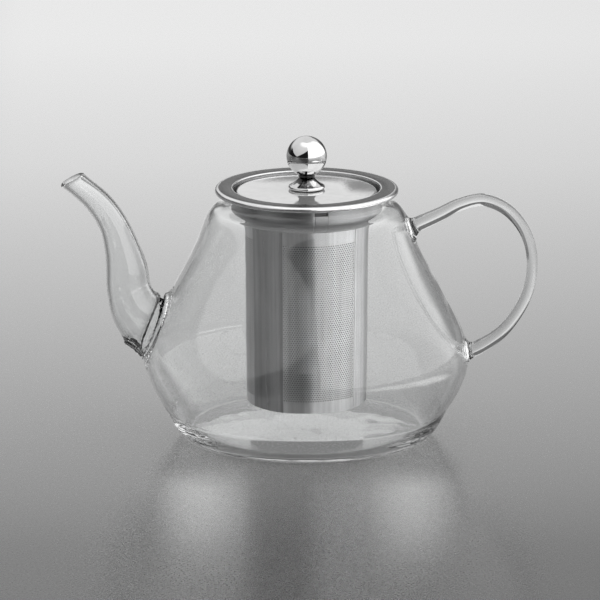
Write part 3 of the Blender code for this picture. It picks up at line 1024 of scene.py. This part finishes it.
def satin_material(name, colour, rough, stretch, marks="rings"):
    """Satin stainless steel. Its marks are rings round the axis, or upright ones on the tube.

    Turned marks are the rings of the flange, with painted shade on its flat. Upright marks come with
    painted shade inside the tube.
    """
    material, nodes, shader, place = new_material(name)
    if marks == "upright":
        fine = nodes.noise(60.0, 3.0, place, stretch=(60.0, 60.0, 1.5))
        broad = nodes.noise(12.0, 2.0, place, stretch=(50.0, 50.0, 1.2))
        spread, least = 0.65, 0.68
    else:
        line = nodes.math("ADD", axis_distance(nodes, place), nodes.axes(place)[2])
        fine = nodes.noise(9000.0, 3.0, w=line)
        broad = nodes.noise(900.0, 2.0, w=line)
        spread, least = 0.45, 0.78
    cloud = nodes.noise(90.0, 4.0, place)
    tone = nodes.math("MULTIPLY_ADD", broad, spread, least)
    tone = nodes.product(tone, nodes.ramp(cloud, 0.3, 0.7, 0.95, 1.03))
    # Painted shade on the flange's flat
    if marks == "turned":
        tone = nodes.product(tone, painted_flat_shade(nodes, place))
    # Painted shade inside the tube
    if marks == "upright":
        tone = nodes.product(tone, painted_inward_shade(nodes, place))
    colours = {"Factor": 1.0, 6: (*colour, 1), 7: nodes.grey(tone)}
    shade = nodes.add("ShaderNodeMix", colours, data_type="RGBA", blend_type="MULTIPLY")
    scratched = nodes.bump(fine, 0.00003, 0.6)
    nodes.fill(shader, {
        "Base Color": shade.outputs[2],
        "Metallic": 1.0,
        "Roughness": nodes.math("MULTIPLY_ADD", fine, 0.16, rough - 0.06),
        "Anisotropic": stretch,
        "Anisotropic Rotation": 0.25,
        "Tangent": nodes.add("ShaderNodeTangent", direction_type="RADIAL", axis="Z").outputs[0],
        "Normal": nodes.bump(cloud, 0.0001, 0.15, scratched),
    })
    return material


def painted_waist_shade(nodes, place, height):
    """Darkens the knob's waist with painted shade, and the cone of its foot with patches of painted
    shade.
    """
    low, high, foot, reach = KNOB_SHADED_WAIST
    # Painted shade in the waist between the foot and the ball
    shaded_waist = nodes.product(
        nodes.ramp(height, low, low + 0.0008),
        nodes.ramp(height, high, high - 0.0009),
        nodes.ramp(axis_distance(nodes, place), reach, reach - 0.001),
    )
    patches = nodes.ramp(nodes.noise(260.0, 2.0, place), 0.40, 0.56)
    above_foot = nodes.ramp(height, foot, foot - 0.001)
    return nodes.mixed(shaded_waist, 1.0, nodes.mixed(above_foot, 0.05, nodes.mixed(patches, 0.1, 1.0)))


def mirror_material(name, polish):
    """Polished stainless steel with hairline scratches and a little dust haze."""
    material, nodes, shader, place = new_material(name)
    haze = nodes.noise(220.0, 5.0, place)
    height = nodes.axes(place)[2]
    # The tone holds the dust haze, and painted shade on the lid's skirt and the knob's waist
    tone = nodes.product(
        nodes.ramp(haze, 0.35, 0.75, 0.75, 0.69),
        nodes.ramp(height, *SHADED_SKIRT, SKIRT_SHADE_TONE, 1.0),
        painted_waist_shade(nodes, place, height),
    )
    scratches = nodes.noise(700.0, 2.0, place, stretch=(1.0, 5.0, 1.0))
    scratched = nodes.bump(scratches, 0.00001, 0.5)
    nodes.fill(shader, {
        "Base Color": nodes.grey(tone),
        "Metallic": polish,
        "Roughness": nodes.ramp(haze, 0.35, 0.8, 0.0, 0.05),
        "Normal": nodes.bump(nodes.noise(70.0, 1.0, place), 0.0002, 0.08, scratched),
    })
    return material


# -------- studio


FLOOR_RADIUS = 25.0
FLOOR_DROP = 0.00015
# The floor's own brightness by distance behind the teapot, in metres: a sweep lit from behind
FLOOR_GLOW = (
    (-6.0, 0.45), (-3.0, 0.0), (-0.31, 0.0), (-0.20, 0.02),
    (-0.10, 0.09), (0.0, 0.15), (0.16, 0.24), (0.34, 0.35),
    (0.53, 0.48), (0.80, 0.60), (2.0, 0.62),
)
# Where the floor is darker: across its left side, and beyond an edge to the right and behind
LEFT_FADE = (-0.14, -0.25, 1.0, 0.4)
FAR_RIGHT = ((0.16, 0.22), (0.30, 0.40))
FAR_RIGHT_SHARE = 0.25
# The white wall's light on the floor, front right: its edges to the left, right, back and front
GLOW_BESIDE = ((0.145, 0.19), (0.38, 0.27), (0.08, 0.0), (-0.34, -0.22))
GLOW_BESIDE_STRENGTH = 1.9
# Light thrown forward through the glass, in two streaks: how far off the middle, how wide, where
# it begins, is full and ends, and how strong
THROWN_LIGHT = (0.046, 0.017, -0.05, -0.10, -0.27, 0.18)
# Light gathered under the base: its edge's outer and inner radius, and how strong
GATHERED_LIGHT = (0.0545, 0.0515, 0.12)
GATHERED_CENTRE = 0.003

# Strengths of the light round the teapot, and bearings and heights in degrees
SKY_LIGHT = (0.68, 0.86)  # at the horizon and high up
TOP_LIGHT = 0.7  # added overhead
PANEL_LIGHT = 0.86
BAND_LIGHT = (0.14, 0.24)  # at the horizon and high up
GAP_LIGHT = 0.05
DARK_LIGHT = 0.012
DARK_NOTCH = -56.0  # bearing where the dark gap's upper edge is lowest
WALL_LIGHT = 1.6
WALL_EDGE = (9.2, 9.8)  # bearing where the dark gap ends and the white wall begins


def back_glow(nodes, right, back):
    """The floor's glow from front to back, with its darker stretches."""
    first, last = FLOOR_GLOW[0][0], FLOOR_GLOW[-1][0]
    ramp = nodes.add("ShaderNodeValToRGB", {0: nodes.ramp(back, first, last, smooth=False)})
    stops = ramp.color_ramp.elements
    while len(stops) < len(FLOOR_GLOW):
        stops.new(0.5)
    for stop, (distance, glow) in zip(stops, FLOOR_GLOW):
        stop.position = (distance - first) / (last - first)
        stop.color = (glow, glow, glow, 1)
    beyond = nodes.product(nodes.ramp(right, *FAR_RIGHT[0]), nodes.ramp(back, *FAR_RIGHT[1]))
    darker = nodes.mixed(beyond, 1.0, FAR_RIGHT_SHARE)
    return nodes.product(ramp.outputs[0], nodes.ramp(right, *LEFT_FADE), darker)


def wall_glow(nodes, right, back):
    left_edge, right_edge, back_edge, front_edge = GLOW_BESIDE
    across = (nodes.ramp(right, *left_edge), nodes.ramp(right, *right_edge))
    along = (nodes.ramp(back, *back_edge), nodes.ramp(back, *front_edge))
    return nodes.product(*across, *along, GLOW_BESIDE_STRENGTH)


def floor_glow(nodes, place):
    right, back, _ = nodes.axes(place)
    glow = nodes.math("MAXIMUM", back_glow(nodes, right, back), wall_glow(nodes, right, back))
    offset, width, begin, full, end, thrown = THROWN_LIGHT
    beside = nodes.math("SUBTRACT", nodes.math("ABSOLUTE", right), offset)
    streak = nodes.math("POWER", nodes.math("DIVIDE", beside, width), 2.0)
    streak = nodes.math("EXPONENT", nodes.product(streak, -1.0))
    streak = nodes.product(streak, nodes.ramp(back, begin, full), nodes.ramp(back, end, full))
    glow = nodes.math("MULTIPLY_ADD", streak, thrown, glow)
    outer, inner, gathered = GATHERED_LIGHT
    away = axis_distance(nodes, nodes.vector("ADD", place, (0, -GATHERED_CENTRE, 0)))
    glow = nodes.math("ADD", glow, nodes.ramp(away, outer, inner, 0, gathered))
    return nodes.math("MAXIMUM", glow, 0.0)


def make_floor_plane():
    """A wide semi-gloss floor that grows lighter towards the back, as on a lit sweep."""
    mesh = bpy.data.meshes.new("studio_floor")
    r = FLOOR_RADIUS
    z = -FLOOR_DROP
    mesh.from_pydata([(-r, -r, z), (r, -r, z), (r, r, z), (-r, r, z)], [], [(0, 1, 2, 3)])
    floor = add_object("studio_floor", mesh)
    material, nodes, shader, place = new_material("studio_floor")
    grain = nodes.noise(900.0, 2.0, place)
    nodes.fill(shader, {
        "Base Color": (0.06, 0.06, 0.06, 1),
        "Roughness": nodes.ramp(grain, 0.3, 0.7, 0.23, 0.29),
        "Emission Color": nodes.grey(floor_glow(nodes, place)),
        "Emission Strength": 1.0,
    })
    mesh.materials.append(material)


def panel_light(nodes, bearing, height, sky):
    """The sky with a bright panel behind, above a low grey band and between two dark gaps."""
    gap_left = nodes.product(nodes.ramp(bearing, -84, -104), nodes.ramp(bearing, -168, -152))
    gap_right = nodes.product(nodes.ramp(bearing, 128, 142), nodes.ramp(bearing, 168, 152))
    gap = nodes.math("MAXIMUM", gap_left, gap_right)
    gap = nodes.product(gap, nodes.ramp(height, 26, 12))
    # The panel's lower edge climbs to the right
    turn = nodes.product(nodes.math("SIGN", bearing), 180.0)
    rightward = nodes.math("SUBTRACT", turn, bearing)
    edge = nodes.ramp(rightward, 0.75, 1.05, 10.4, 13.8)
    edge = nodes.math("ADD", edge, nodes.ramp(rightward, 2.0, 14.0, 0.0, 15.5, smooth=False))
    over = nodes.math("SUBTRACT", height, edge)
    band = nodes.ramp(height, 0, 30, *BAND_LIGHT)
    panel = nodes.mixed(nodes.ramp(over, -0.35, 0.35), band, PANEL_LIGHT)
    behind = nodes.ramp(nodes.math("ABSOLUTE", bearing), 105, 135)
    return nodes.mixed(gap, nodes.mixed(behind, sky, panel), GAP_LIGHT)


def front_dark(nodes, bearing, height):
    """Where the dark gap at the front left is. Its upper edge falls to a notch and climbs again."""
    climb = nodes.ramp(bearing, DARK_NOTCH, 9.5, 4, 44, smooth=False)
    fall = nodes.ramp(bearing, -105, DARK_NOTCH, 24, 4, smooth=False)
    edge = nodes.mixed(nodes.math("LESS_THAN", bearing, DARK_NOTCH), climb, fall)
    dark = nodes.ramp(nodes.math("SUBTRACT", height, edge), 1.5, -1.5)
    return nodes.product(dark, nodes.ramp(bearing, *reversed(WALL_EDGE)),
                         nodes.ramp(bearing, -125, -105))


def make_studio_light():
    """Soft light from all sides, with a panel behind and a dark gap and a white wall in front."""
    world = bpy.data.worlds.new("studio")
    bpy.context.scene.world = world
    world.use_nodes = True
    nodes = Nodes(world.node_tree)
    x, y, z = nodes.axes(nodes.add("ShaderNodeTexCoord").outputs["Generated"])
    # Bearing from the front, in degrees, positive to the right, and height above the horizon
    bearing = nodes.product(nodes.math("ARCTAN2", x, nodes.product(y, -1.0)), 180 / pi)
    height = nodes.product(nodes.math("ARCSINE", z), 180 / pi)
    overhead = nodes.ramp(height, 55, 75, 0, TOP_LIGHT)
    sky = nodes.math("ADD", nodes.ramp(height, 0, 60, *SKY_LIGHT), overhead)
    light = panel_light(nodes, bearing, height, sky)
    light = nodes.mixed(front_dark(nodes, bearing, height), light, DARK_LIGHT)
    wall = nodes.product(nodes.ramp(bearing, *WALL_EDGE), nodes.ramp(bearing, 142, 128),
                         nodes.ramp(height, 72, 60))
    light = nodes.mixed(wall, light, WALL_LIGHT)
    nodes.fill(world.node_tree.nodes["Background"], {"Color": (1, 1, 1, 1), "Strength": light})


def make_camera():
    data = bpy.data.cameras.new("camera")
    data.sensor_width = SENSOR
    data.lens = SENSOR * CAMERA_DISTANCE / VIEW_WIDTH
    data.clip_end = 60.0
    camera = add_object("camera", data)
    back = Vector((0, -cos(CAMERA_ELEVATION), sin(CAMERA_ELEVATION)))
    camera.location = (Vector(CAMERA_AIM) + back * CAMERA_DISTANCE) * MM
    camera.rotation_mode = "QUATERNION"
    camera.rotation_quaternion = (-back).to_track_quat("-Z", "Y")
    bpy.context.scene.camera = camera


def main():
    bpy.context.scene.view_settings.view_transform = "Standard"
    # Light is led a long way through the thick glass of the base before it comes out
    bpy.context.scene.cycles.max_bounces = 32
    bpy.context.scene.cycles.glossy_bounces = 24
    bpy.context.scene.cycles.transmission_bounces = 24
    make_camera()
    glass = glass_material()
    mirror = mirror_material("polished_steel", 1.0)
    lid_mirror = mirror_material("polished_lid_steel", LID_POLISH)
    flange_steel = satin_material("turned_satin_steel", (0.80, 0.80, 0.805), 0.22, 0.0, "turned")
    collar_steel = satin_material("rolled_satin_steel", (0.55, 0.55, 0.555), 0.34, 0.85)
    tube_steel = satin_material("perforated_satin_steel", (0.70, 0.70, 0.705), 0.38, 0.85, "upright")
    floor_steel = satin_material("basket_floor_satin_steel", (0.22, 0.22, 0.222), 0.40, 0.0)
    margin_steel = satin_material("plain_satin_steel", (0.42, 0.42, 0.425), 0.36, 0.85, "upright")
    make_glass_vessel(glass)
    make_tube_panels(tube_steel)
    make_plain_strip("infuser_tube_seam", SEAM_FIRST, SEAM_LAST, seam_relief, margin_steel)
    make_plain_strip("infuser_tube_margin", PLAIN_FIRST, PLAIN_LAST, groove_relief, tube_steel)
    make_floor(floor_steel)
    make_flange(flange_steel)
    make_collar(collar_steel)
    make_lid(lid_mirror)
    make_knob(mirror)
    make_fastener(collar_steel)
    make_floor_plane()
    make_studio_light()


main()
